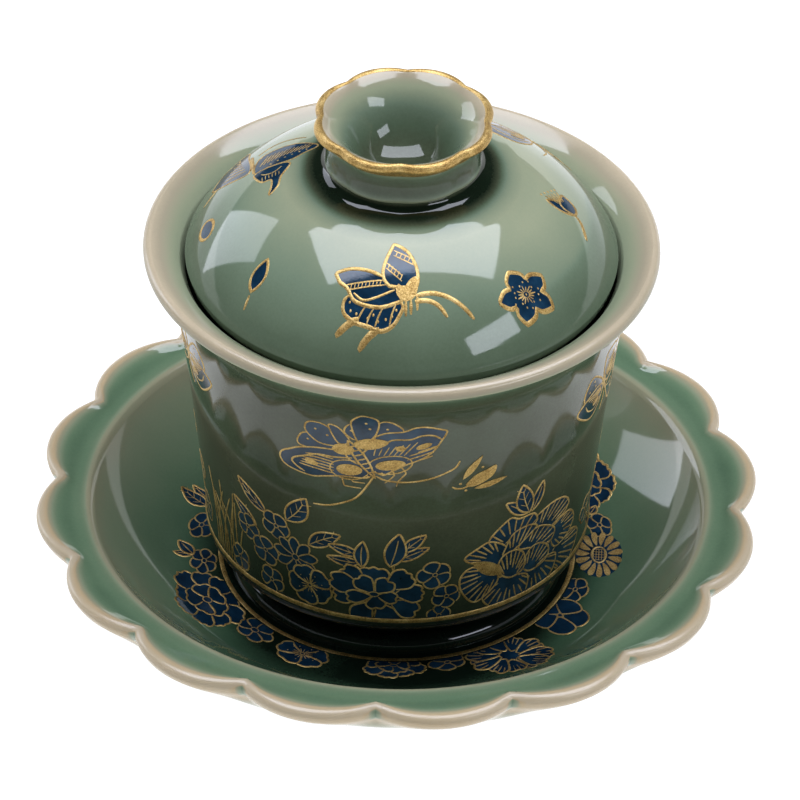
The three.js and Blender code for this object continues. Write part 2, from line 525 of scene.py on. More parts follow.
FOOT_LIFT = 0.9  # the glazed body starts this far above the bare foot ring
SAUCER_FLOOR = 7.4
WELL_WALL, WELL_FILLET = 38, 8.5  # radii of the well's curved side, and between it and the floor
SAUCER_WELL = (
    arc(26.56, WELL_WALL + 3.9, WELL_WALL, -36, -61.8, 0.26, 0.62, 0.47)
    + arc(40.5, SAUCER_FLOOR + WELL_FILLET, WELL_FILLET, -61.8, -90, 0.62, 0.74)[1:])
SAUCER_PROFILE = soften(
    straight((0, 2.8, 0.6), (32.5, 2.8, 0.66), (33.6, FOOT_LIFT, 0.3))
    + straight((33.9, FOOT_LIFT - 0.2, 0.2), (38.7, FOOT_LIFT - 0.2, 0.2))
    + straight((39.5, 1.4, 0.4), (40.2, 1.7, 0.6))
    + smooth((43, 2.5, 0.66), (48, 4.5, 0.62), (54, 8, 0.55), (60, 12.6, 0.34), (64.5, 15.8, 0.16),
             (66.7, 17.5, 0.08))
    + smooth((67.8, 18.6, 0.08), (68.3, 19.5, 0.06), (68.5, 20.3, 0.02), (68.2, 20.95, 0),
             (67.4, 21.35, 0.05), (66.6, 21.4, 0.14), (65.8, 21.15, 0.3), (64.8, 20.85, 0.5),
             (63.2, 20.4, 0.61), (61.4, 20.15, 0.6), (60.2, 20.25, 0.58), (59.4, 20.45, 0.48),
             (58.8, 20.5, 0.28), (58.1, 20.3, 0.24), step=0.4)
    + SAUCER_WELL
    # Towards the bead and under the bowl the floor's glaze value climbs to near black: partly glaze pooled at
    # the bead, partly painted shade from the bowl.
    + straight(*[(r, SAUCER_FLOOR, g) for r, g in ((40.5, 0.74), (37.5, 0.86), (34.5, 0.96), (31.9, 1))])
    + arc(28.9, SAUCER_FLOOR, 2.8, 0, 180, 0.96, 0.99, 0.9)
    + straight((26.1, SAUCER_FLOOR, 0.97), (0, SAUCER_FLOOR, 0.8)))


def saucer_glaze(angle, radius, height, glaze):
    """Glaze pools in the grooves below the notches and is thin on the notches' tops. The front of
    the well is darker still: painted shade, where the bowl shadows the floor."""
    place = lobe_place(angle, SAUCER_SCALLOP[0])
    outer = smoothstep(radius, 64, 66)
    below = outer * (1 - smoothstep(height, 20.5, 21.2)) * smoothstep(height, 17.4, 18.8)
    above = smoothstep(radius, 62, 65) * smoothstep(height, 20.4, 21)
    near_notch = np.exp(-(((1 - place) / 0.07) ** 2))
    wide_notch = np.exp(-(((1 - place) / 0.16) ** 2))
    middle = smoothstep(radius, 60.5, 62.5) * (1 - smoothstep(radius, 64.5, 66)) * (1 - place)
    glaze = glaze + 0.62 * below * near_notch - 0.26 * above * wide_notch + 0.06 * middle
    # Painted shade: the front of the well, in the bowl's shadow, gets a higher, darker glaze value.
    painted_front_shade = smoothstep(-np.sin(angle), 0.45, 1) * (1 - smoothstep(radius, 50, 57))
    return glaze + 0.26 * painted_front_shade


dress(revolve("saucer_body", SAUCER_PROFILE, SAUCER_SEGMENTS, SAUCER_SCALLOP, regulate=saucer_glaze),
      "saucer", "saucer_glaze", "saucer")
SAUCER_FOOT_SECTION = soften(straight(
    (34.2, 0, 0), (38.3, 0, 0), (38.75, 0.6, 0), (38.6, 1.6, 0), (33.9, 1.6, 0), (33.75, 0.6, 0),
    (34.2, 0, 0), step=0.5), closed=True, corner=0.2)
dress(revolve("saucer_foot", SAUCER_FOOT_SECTION, ROUND_SEGMENTS, closed=True), "saucer", "bare_foot")


# ---- The bowl ----

WALL_BOTTOM, WALL_TOP = 18.2, 75.8
WALL_SLOPE = 0.112
WALL_FOOT_RADIUS, WALL_FOOT_HEIGHT = 36.33, 23  # one place on the straight part of the wall
UPRIGHT_DEPTH, UPRIGHT_HEIGHT = 0.5, 2.2
FLARE_DEPTH, FLARE_HEIGHT = 2.39, 5.6  # how far the lip leans out, and over what height


def wall_radius(height):
    """Nearly straight, turning upright at the bottom and flaring towards the lip."""
    upright = UPRIGHT_DEPTH * exp((WALL_BOTTOM - height) / UPRIGHT_HEIGHT)
    flare = FLARE_DEPTH * exp((height - WALL_TOP) / FLARE_HEIGHT)
    return WALL_FOOT_RADIUS + WALL_SLOPE * (height - WALL_FOOT_HEIGHT) + upright + flare


# The wall's glaze value: high and dark all the way up, higher towards the foot, thin at the lip. The dark is
# partly the glaze's own colour, partly painted shade on the bowl's side and at its foot over the saucer.
def wall_glaze_and_shade(height):
    return np.interp(height, (18, 30, 45, 72, 74.6, 75.8), (0.95, 0.92, 0.88, 0.88, 0.8, 0.56))


WALL = [(wall_radius(z), z, wall_glaze_and_shade(z)) for z in np.linspace(WALL_BOTTOM, WALL_TOP, 112)]
LIP_CENTRE, LIP_HEIGHT, LIP_SECTION = 46.35, 78.55, 1.45
# The underside and the rounding under the wall are near black: pooled glaze and painted shade above the
# saucer.
BOWL_PROFILE = soften(
    straight((0, 11.2, 0.6), (18, 11, 0.66), (21.8, 9.3, 0.5), (22.4, 8.5, 0.3), (24.8, 8.5, 0.3),
             (25.2, 9.1, 0.6), (25.6, 12, 0.95), (28.9, 13.3, 1))
    + arc(33.3, 18.2, 3, -75, 0, 1, 0.98)[:-1]
    + WALL
    + arc(LIP_CENTRE, LIP_HEIGHT, LIP_SECTION, -22, 90, 0.34, 0.05, 0.1)
    + smooth((LIP_CENTRE, 80, 0.05), (45, 79.35, 0.15), (42.9, 78.15, 0.31), (41, 76.7, 0.42))
    + smooth((40, 75, 0.46), (39.5, 72, 0.5), (38.2, 64.5, 0.52), (36.6, 54, 0.54), (35.5, 42, 0.56),
             (34.4, 30, 0.6), (32.6, 22.5, 0.64))
    + smooth((30.2, 18.6, 0.7), (26, 15.8, 0.74), (20, 14.6, 0.7), (12, 14.2, 0.68))
    + straight((12, 14.2, 0.68), (0, 14.2, 0.68)))
dress(revolve("bowl_body", BOWL_PROFILE, ROUND_SEGMENTS), "bowl", "celadon_glaze", "bowl")
BOWL_FOOT_SECTION = soften(straight(
    (22.7, 7.7, 0), (24.5, 7.7, 0), (24.85, 8.2, 0), (24.7, 9, 0), (22.5, 9, 0), (22.35, 8.2, 0),
    (22.7, 7.7, 0), step=0.5), closed=True, corner=0.15)
dress(revolve("bowl_foot", BOWL_FOOT_SECTION, ROUND_SEGMENTS, closed=True), "bowl", "bare_foot")


# ---- The lid and its knob ----

# Round the knob's foot the glaze value rises to its darkest, out to a radius of about 18 mm: partly glaze
# pooled in the cove, partly painted shade from the knob.
DOME = arc(4.1, 56.51, 41.8, 34.86, 64.65, 0.72, 0.36, 0.6)[:-1] + smooth(
    (22, 94.28, 0.36), (19.6, 95.2, 0.5), (17.8, 95.75, 0.84), (16.2, 96.25, 1),
    (15.2, 96.7, 1), (14.4, 97.4, 1), (14.1, 97.9, 0.8))
# Towards the lid's lower edge its glaze value rises: partly glaze that ran down and pooled, partly painted
# shade on the steep lower slopes.
LID_PROFILE = soften(
    straight((0, 93.2, 0.62), (12, 93, 0.62))
    + smooth((12, 93, 0.62), (20, 91.3, 0.6), (27, 87.9, 0.6), (33, 82.8, 0.6), (36.2, 77.6, 0.5))
    + smooth((37.2, 75.6, 0.3), (38.4, 74.9, 0.3), (39.6, 75.5, 0.5), (40.1, 77.4, 0.68))
    + smooth((40.1, 77.4, 0.68), (39.6, 78.55, 0.7), (38.4, 80.4, 0.72))
    + DOME
    + straight((13.6, 98.2, 1), (12.1, 97, 1), (12.1, 94.3, 1), (0, 94.3, 1)), corner=0.2)


def lid_painted_light(angle, radius, height, glaze):
    """The dome is lighter on its right side: painted light, made by lowering its glaze value there."""
    # Painted light: a lower glaze value, so a lighter colour, on the right of the dome.
    right = smoothstep(np.cos(angle - radians(10)), 0.2, 1)
    dome = smoothstep(radius, 21, 27) * (1 - smoothstep(radius, 33, 37)) * smoothstep(height, 84, 86)
    return glaze - 0.15 * right * dome


dress(revolve("lid_body", LID_PROFILE, ROUND_SEGMENTS, regulate=lid_painted_light), "lid", "celadon_glaze", "lid")

KNOB_LIP = smooth(
    (14.5, 103.9, 0.5), (14.8, 104.6, 0.5), (15.4, 105.15, 0.4), (16.1, 105.6, 0.3), (16.65, 106.1, 0.3),
    (16.8, 106.6, 0.3), (16.5, 107.2, 0.2), (15.9, 107.5, 0.1), (15.1, 107.25, 0.08), step=0.25)
KNOB_PROFILE = soften(
    straight((0, 94.6, 1), (11.8, 94.6, 1), (11.8, 96.8, 1))
    + smooth((12, 96.95, 1), (12.3, 97.25, 1), (13.2, 97.6, 0.9), (14, 97.9, 0.5), step=0.25)
    + smooth((14.35, 98.1, 0.4), (14.6, 98.5, 0.4), (14.45, 99.6, 0.76), (14.3, 101.5, 0.8),
             (14.35, 103.2, 0.74), (14.5, 103.9, 0.5), step=0.35)
    + KNOB_LIP
    + smooth((15.1, 107.25, 0.1), (14.3, 106.8, 0.14), (13.4, 106.2, 0.26), (12.1, 104.9, 0.38),
             (10.8, 103.2, 0.56), (9.65, 101.3, 0.7), (8.45, 99.4, 0.8), (7.2, 97.85, 0.86),
             (5.9, 96.75, 0.88), (4.5, 96, 0.9), (2.9, 95.55, 0.9), (1.2, 95.4, 0.9))
    + straight((1.2, 95.4, 0.9), (0, 95.4, 0.9)), corner=0.3)
dress(revolve("knob_body", KNOB_PROFILE, KNOB_SEGMENTS, KNOB_SCALLOP, KNOB_TURN),
      "lid", "celadon_glaze", "lid_knob")
dress(revolve("knob_gilding", overlay(KNOB_LIP[1:], 0.07, 0.05), KNOB_SEGMENTS, KNOB_SCALLOP, KNOB_TURN,
              closed=True), "lid", "fired_gold")


# ---- Painting: gold lines and enamel fills, in mm on a surface's own two axes ----

GOLD_HEIGHT = 0.06  # how far a gold line stands proud of the glaze
ENAMEL_HEIGHT = 0.03
SUNK = 0.05  # how far paint reaches into the glaze
LINE = 0.54  # width of a line where none is given
FINE_LINE = 0.32
STROKE_STEP = 0.45  # spacing of the points of a line
FILL_STEP = 1.3  # spacing of the points inside a fill
FILL_MARGIN = 0.45  # how far a fill's inner points stay from its border
OUTLINE_STEP = 0.6  # spacing of the points on its border
WALL_RADIUS = 38.5  # radius at which the unrolled wall keeps its true widths
BAND_TOP = 19.35  # top of the gold band round the foot of the wall
RING_RADIUS = 34.2  # outside of the gold ring on the saucer's floor


def sorted_rows(path, key):
    """(radius, height) rows of a profile in rising order of one of them, each once."""
    rows = sorted({(round(p[0], 4), round(p[1], 4)) for p in path}, key=lambda row: row[key])
    kept = [rows[0]]
    for row in rows[1:]:
        if row[key] - kept[-1][key] > 0.01:
            kept.append(row)
    return np.array(kept)


def wall_surface(path):
    """Maps (x along the unrolled wall, height) to space. x is 0 at -Y and grows towards +X."""
    rows = sorted_rows(path, 1)
    radii, heights = rows[:, 0], rows[:, 1]
    slopes = np.gradient(radii, heights)

    def place(points, lift):
        angle = -pi / 2 + points[:, 0] / WALL_RADIUS
        slope = np.interp(points[:, 1], heights, slopes)
        scale = lift / np.sqrt(1 + slope ** 2)
        radius = np.interp(points[:, 1], heights, radii) + scale
        return np.stack([radius * np.cos(angle), radius * np.sin(angle), points[:, 1] - slope * scale], -1)

    return place


def plan_surface(path):
    """Maps (x, y) in plan to a surface that faces up."""
    rows = sorted_rows(path, 0)
    radii, heights = rows[:, 0], rows[:, 1]
    slopes = np.gradient(heights, radii)

    def place(points, lift):
        radius = np.hypot(points[:, 0], points[:, 1])
        slope = np.interp(radius, radii, slopes)
        scale = lift / np.sqrt(1 + slope ** 2)
        share = 1 - slope * scale / radius
        height = np.interp(radius, radii, heights) + scale
        return np.stack([points[:, 0] * share, points[:, 1] * share, height], -1)

    return place


def inside(points, outline):
    """Which points are inside a closed outline."""
    x, y = points[:, 0], points[:, 1]
    result = np.zeros(len(points), bool)
    x0, y0 = outline[-1]
    for x1, y1 in outline:
        if y0 != y1:
            result ^= ((y0 > y) != (y1 > y)) & (x < (x1 - x0) * (y - y0) / (y1 - y0) + x0)
        x0, y0 = x1, y1
    return result


def resample(points, step, closed=False):
    """Evenly spaced points along a polyline."""
    path = np.array(list(points) + ([points[0]] if closed else []), float)
    lengths = np.concatenate([[0], np.cumsum(np.linalg.norm(np.diff(path, axis=0), axis=1))])
    count = max(3, ceil(lengths[-1] / step) + 1)
    at = np.linspace(0, lengths[-1], count)
    even = np.stack([np.interp(at, lengths, path[:, k]) for k in (0, 1)], -1)
    return even[:-1] if closed else even


def rounded(points, closed=False):
    """A smooth curve through a few points."""
    path = [tuple(map(float, p)) for p in points]
    if closed:
        path = path[-2:] + path + path[:2]
    dense = smooth(*path, step=0.5)
    if closed:
        gap = [k for k, p in enumerate(dense) if dist(p, path[2]) < 1e-9]
        end = [k for k, p in enumerate(dense) if dist(p, path[-2]) < 1e-9]
        dense = dense[gap[0]:end[-1]]
    return dense


class Relief:
    """Thin raised paint of one colour on one surface, gathered into one mesh."""

    def __init__(self, surface):
        self.surface = surface
        self.vertices = []
        self.faces = []

    def add(self, vertices, faces):
        start = len(self.vertices)
        self.vertices += (np.asarray(vertices) * MM).tolist()
        self.faces += [tuple(start + k for k in face) for face in faces]

    def tube(self, path, width, closed=False):
        """A line with a rounded top. Its ends narrow."""
        if closed:
            along = np.roll(path, -1, 0) - np.roll(path, 1, 0)
        else:
            along = np.gradient(path, axis=0)
        along /= np.maximum(np.linalg.norm(along, axis=1), 1e-9)[:, None]
        across = np.stack([-along[:, 1], along[:, 0]], -1) * width
        count = len(path)
        if not closed:
            ends = np.minimum(np.arange(count), np.arange(count)[::-1])
            across *= np.clip(0.55 + 0.25 * ends, 0, 1)[:, None]
        shoulder = 0.75 * GOLD_HEIGHT
        section = [(-0.5, -SUNK), (-0.36, shoulder), (0, GOLD_HEIGHT), (0.36, shoulder), (0.5, -SUNK)]
        sides = len(section)
        rings = np.stack([self.surface(path + across * share, lift) for share, lift in section], 1)
        faces = []
        for i in range(count if closed else count - 1):
            faces += bridge(i * sides, (i + 1) % count * sides, sides)
        if not closed:
            faces.append(tuple(range(sides)))
            faces.append(tuple((count - 1) * sides + k for k in range(sides))[::-1])
        self.add(rings.reshape(-1, 3), faces)

    def dot(self, centre, radius):
        """A small dome of paint."""
        sides = 9
        turns = np.arange(sides) * 2 * pi / sides
        ring = np.stack([np.cos(turns), np.sin(turns)], -1) * radius
        rim = self.surface(centre + ring, -SUNK)
        shoulder = self.surface(centre + ring * 0.75, 0.8 * GOLD_HEIGHT)
        top = self.surface(centre[None, :], 1.1 * GOLD_HEIGHT)
        under = self.surface(centre[None, :], -SUNK)
        faces = []
        for k in range(sides):
            after = (k + 1) % sides
            faces.append((k, after, sides + after, sides + k))
            faces.append((sides + k, sides + after, 2 * sides))
            faces.append((after, k, 2 * sides + 1))
        self.add(np.concatenate([rim, shoulder, top, under]), faces)

    def patch(self, outlines, height):
        """A flat fill over the union of several outlines, with a skirt into the glaze."""
        points, edges, loops = [], [], []
        for outline in outlines:
            x, y = outline[:, 0], outline[:, 1]
            if np.sum(x * np.roll(y, -1) - np.roll(x, -1) * y) < 0:
                outline = outline[::-1]
            start, count = len(points), len(outline)
            points += [Vector(p) for p in outline]
            edges += [(start + k, start + (k + 1) % count) for k in range(count)]
            loops.append(list(range(start, start + count)))
        border = np.array([tuple(p) for p in points])
        (x0, y0), (x1, y1) = border.min(0), border.max(0)
        grid = np.array([(x + (j % 2) * FILL_STEP / 2, y)
                         for j, y in enumerate(np.arange(y0, y1, FILL_STEP))
                         for x in np.arange(x0, x1, FILL_STEP)] or [(x0, y0)])
        covered = np.zeros(len(grid), bool)
        for outline in outlines:
            covered |= inside(grid, outline)
        for point in grid[covered]:
            if np.abs(border - point).sum(1).min() > FILL_MARGIN:
                points.append(Vector(point))
        found, _, triangles, *_ = delaunay_2d_cdt(points, edges, loops, 1, 1e-5)
        flat = np.array([tuple(p) for p in found])
        triangles = [tuple(t) for t in triangles]
        count = len(flat)
        sides = {}
        for triangle in triangles:
            for a, b in zip(triangle, triangle[1:] + triangle[:1]):
                sides[(a, b)] = sides.get((a, b), 0) + 1
        skirt = [(b, a, a + count, b + count) for a, b in sides if (b, a) not in sides]
        under = [tuple(k + count for k in t[::-1]) for t in triangles]
        both = np.concatenate([self.surface(flat, height), self.surface(flat, -SUNK)])
        self.add(both, triangles + skirt + under)

    def piece(self, name, body, slot):
        made = mesh_object(name, self.vertices, self.faces)
        made.data.set_sharp_from_angle(angle=radians(50))
        return dress(made, body, slot)


class Canvas:
    """Draws motifs on a surface, the topmost first: what is drawn later goes behind.

    allowed(points) moves points into the area that may be painted."""

    def __init__(self, surface, allowed=np.array):
        self.gold = Relief(surface)
        self.cobalt = Relief(surface)
        self.allowed = allowed
        self.origin = np.zeros(2)
        self.covers = []
        self.fills = []
        self.at()

    def at(self, x=0, y=0, turn=0, scale=1, stretch=1, along=0):
        """Moves, turns and scales what is drawn next, and stretches it along one direction."""
        c, s = cos(radians(turn)) * scale, sin(radians(turn)) * scale
        axis = np.array([cos(radians(along)), sin(radians(along))])
        longer = np.outer(axis, axis)
        self.matrix = np.array([[c, s], [-s, c]]) @ (longer * stretch + (np.eye(2) - longer) / stretch)
        self.shift = np.array([x, y])

    def put(self, points):
        return np.asarray(points, float) @ self.matrix + self.shift + self.origin

    def clear(self, points):
        """Which points nothing covers yet."""
        kept = np.ones(len(points), bool)
        low, high = points.min(0), points.max(0)
        for cover in self.covers:
            if (cover.min(0) < high).all() and (cover.max(0) > low).all():
                kept &= ~inside(points, cover)
        return kept & (np.abs(self.allowed(points) - points).max(1) < 1e-9)

    def line(self, points, width=LINE, closed=False, curved=True):
        path = rounded(points, closed) if curved and len(points) > 2 else points
        self.stroke(self.put(path), width, closed)

    def stroke(self, path, width, closed=False):
        path = resample(path, STROKE_STEP, closed)
        kept = self.clear(path)
        if closed and kept.all():
            self.gold.tube(path, width, closed=True)
            return
        if closed and not kept.any():
            return
        if closed:
            first = int(np.argmin(kept))
            path, kept = np.roll(path, -first, 0), np.roll(kept, -first)
        run = []
        for point, clear in zip(list(path) + [None], list(kept) + [False]):
            if clear:
                run.append(point)
                continue
            if len(run) > 2:
                self.gold.tube(np.array(run), width)
            run = []

    def dash(self, start, end, width=LINE):
        """A short straight line."""
        self.line([start, end], width, curved=False)

    def shape(self, outline, width=LINE, filled=True):
        """An outlined shape, filled with cobalt. It hides what is drawn after it."""
        outline = self.put(outline)
        self.stroke(outline, width, closed=True)
        outline = self.allowed(resample(outline, OUTLINE_STEP, closed=True))
        if filled:
            self.fills.append(outline)
        self.covers.append(outline)

    def round_shape(self, *points, width=LINE):
        self.shape(rounded(points, closed=True), width)

    def blob(self, outline, relief="gold"):
        """A solid shape with no outline of its own, on top of what is there."""
        outline = resample(self.put(outline), 0.5, closed=True)
        height = GOLD_HEIGHT + 0.01 if relief == "gold" else ENAMEL_HEIGHT
        getattr(self, relief).patch([outline], height)

    def round_blob(self, *points):
        self.blob(rounded(points, closed=True))

    def dot(self, centre, radius=0.3):
        point = self.put([centre])
        if self.clear(point)[0]:
            self.gold.dot(point[0], radius)

    def done(self):
        """Fills the shapes drawn since the last time. They still hide what comes later."""
        if self.fills:
            self.cobalt.patch(self.fills, ENAMEL_HEIGHT)
        self.fills = []


# ---- Motifs ----

def along_axis(base, tip, width):
    """Turns (share of the way to the tip, share of the half width) into a point."""
    base, tip = np.array(base, float), np.array(tip, float)
    axis = tip - base
    across = np.array([-axis[1], axis[0]]) / np.linalg.norm(axis) * width / 2

    def point(along, side):
        return tuple(base + axis * along + across * side)

    return point


def petal(base, tip, width, ruffles=1, depth=0.13):
    """Outline of a petal that widens from its base to a tip with a few ruffles."""
    point = along_axis(base, tip, width)
    outline = []
    count = 28
    for k in range(count):
        turn = 2 * pi * k / count
        along = (1 - cos(turn)) / 2
        side = sin(turn) * (0.25 + 0.75 * along ** 0.8) / 0.78
        wave = 1 - abs(sin(pi * ruffles * (side + 1) / 2))
        outer = min(max((along - 0.45) / 0.4, 0), 1)
        outline.append(point(along - depth * wave * outer, side))
    return outline


def leaf(base, tip, width, bend=0):
    """Outline of a pointed leaf, bent to one side by a share of its width."""
    point = along_axis(base, tip, width)
    count = 9
    shares = [k / count for k in range(count + 1)]
    half = [sin(pi * t ** 0.85) ** 0.9 if 0 < t < 1 else 0 for t in shares]
    middle = [bend * 2 * sin(pi * t) for t in shares]
    left = [point(t, m + h) for t, m, h in zip(shares, middle, half)]
    right = [point(t, m - h) for t, m, h in zip(shares, middle, half)]
    return left + right[-2:0:-1]


def oval(centre, across, high, turn=0, count=18):
    """Outline of an ellipse, given its half width and half height."""
    c, s = cos(radians(turn)), sin(radians(turn))
    outline = []
    for k in range(count):
        angle = 2 * pi * k / count
        x, y = across * cos(angle), high * sin(angle)
        outline.append((centre[0] + c * x - s * y, centre[1] + s * x + c * y))
    return outline


def around(centre, radius, bearing, squash=1):
    angle = radians(bearing)
    return (centre[0] + radius * cos(angle), centre[1] + radius * sin(angle) * squash)


def petal_ring(art, centre, petals, turn, start, end, width, ruffles=1, depth=0.13, line=LINE,
               phase=0.0, uneven=0.0, beat=1.0):
    """Petals in a ring, from one radius to another. uneven varies their length in a beat."""
    for k in range(petals):
        bearing = turn + 360 * (k + phase) / petals
        reach = end * (1 + uneven * sin(beat * k + turn))
        base, tip = around(centre, start, bearing), around(centre, reach, bearing)
        art.shape(petal(base, tip, width, ruffles, depth), line)


def flower(art, centre, radius, petals, turn, ring):
    """A simple flower: round petals about a small ring."""
    art.shape(oval(centre, ring * radius, ring * radius), FINE_LINE)
    width = 1.75 * radius * sin(pi / petals)
    petal_ring(art, centre, petals, turn, 0.1 * radius, radius, width, 1, 0.1, 0.46, uneven=0.07, beat=5)
    art.done()


def plum_blossom(art, centre, radius, turn):
    """Five round petals, with stamens as rays of dashes and dots."""
    for k in range(15):
        bearing = turn + 24 * k
        art.dash(around(centre, 0.14 * radius, bearing), around(centre, 0.38 * radius, bearing), FINE_LINE)
        if k % 3:
            art.dot(around(centre, 0.56 * radius, bearing), 0.17)
    art.shape(oval(centre, 0.1 * radius, 0.1 * radius, count=8), FINE_LINE)
    petal_ring(art, centre, 5, turn, 0.08 * radius, radius, 1.06 * radius, 2, 0.07)
    art.done()


def peony(art, centre, radius, turn, outer=8):
    """A full flower: a ring, then an inner and an outer row of ruffled petals."""
    art.shape(oval(centre, 0.13 * radius, 0.1 * radius), FINE_LINE)
    for petals, start, end, ruffles, phase in ((5, 0.08, 0.56, 2, 0), (outer, 0.3, 1, 3, 0.5)):
        width = 2 * radius * end * sin(pi / petals) * 0.98
        petal_ring(art, centre, petals, turn, start * radius, end * radius, width, ruffles, 0.12,
                   phase=phase, uneven=0.11, beat=2.4)
    art.done()


def aster(art, centre, radius, petals, turn):
    """Long narrow petals about a small ring."""
    art.shape(oval(centre, 0.16 * radius, 0.16 * radius, count=10), FINE_LINE)
    petal_ring(art, centre, petals, turn, 0.1 * radius, radius, 0.5 * radius, line=0.42)
    art.done()


def chrysanthemum(art, centre, radius):
    """A gold flower: a latticed heart and curled petals, each with a crescent left bare."""
    heart = 0.3 * radius
    x, y = centre
    for k in range(-2, 3):
        offset = 0.38 * k * heart
        reach = sqrt(heart ** 2 - offset ** 2) * 0.8
        art.dash((x + offset, y - reach), (x + offset, y + reach), 0.2)
        art.dash((x - reach, y + offset), (x + reach, y + offset), 0.2)
    art.shape(oval(centre, heart, heart * 1.15), filled=False)
    petals = 15
    for k in range(petals):
        bearing = 360 * k / petals
        width = 2 * radius * sin(pi / petals)
        point = along_axis(around(centre, heart * 1.3, bearing), around(centre, radius, bearing + 8), width)
        art.round_blob(point(0, 0.3), point(0.4, 0.8), point(0.85, 0.72), point(1, 0), point(0.8, -0.45),
                       point(0.35, -0.1))
    art.blob(oval(centre, 0.97 * radius, 0.97 * radius, count=36), "cobalt")
    art.done()


def veined_leaf(art, base, tip, width, bend=0, veins=3):
    """A pointed leaf with a midrib and slanting veins."""
    point = along_axis(base, tip, width)
    curve = [point(t, 2 * bend * sin(pi * t)) for t in (0.06, 0.3, 0.55, 0.8)]
    art.line(curve, FINE_LINE)
    for k in range(veins):
        t = 0.25 + 0.5 * k / max(veins - 1, 1)
        middle = 2 * bend * sin(pi * t)
        for side in (-0.62, 0.62):
            art.dash(point(t, middle), point(t + 0.17, middle + side), 0.2)
    art.shape(leaf(base, tip, width, bend))
    art.done()


def striped_petal(art, base, tip, width):
    """A ruffled petal with four fine gold lines that fan out towards its edge."""
    point = along_axis(base, tip, width)
    for k in range(4):
        side = -0.76 + 1.52 * k / 3
        start, end = 0.46 + 0.06 * abs(side), 0.93 - 0.2 * side ** 2
        art.line([point(start, 0.6 * side), point((start + end) / 2, 0.8 * side), point(end, 0.9 * side)],
                 0.36)
    art.shape(petal(base, tip, width, 2))


# ---- Painting on the wall of the bowl ----

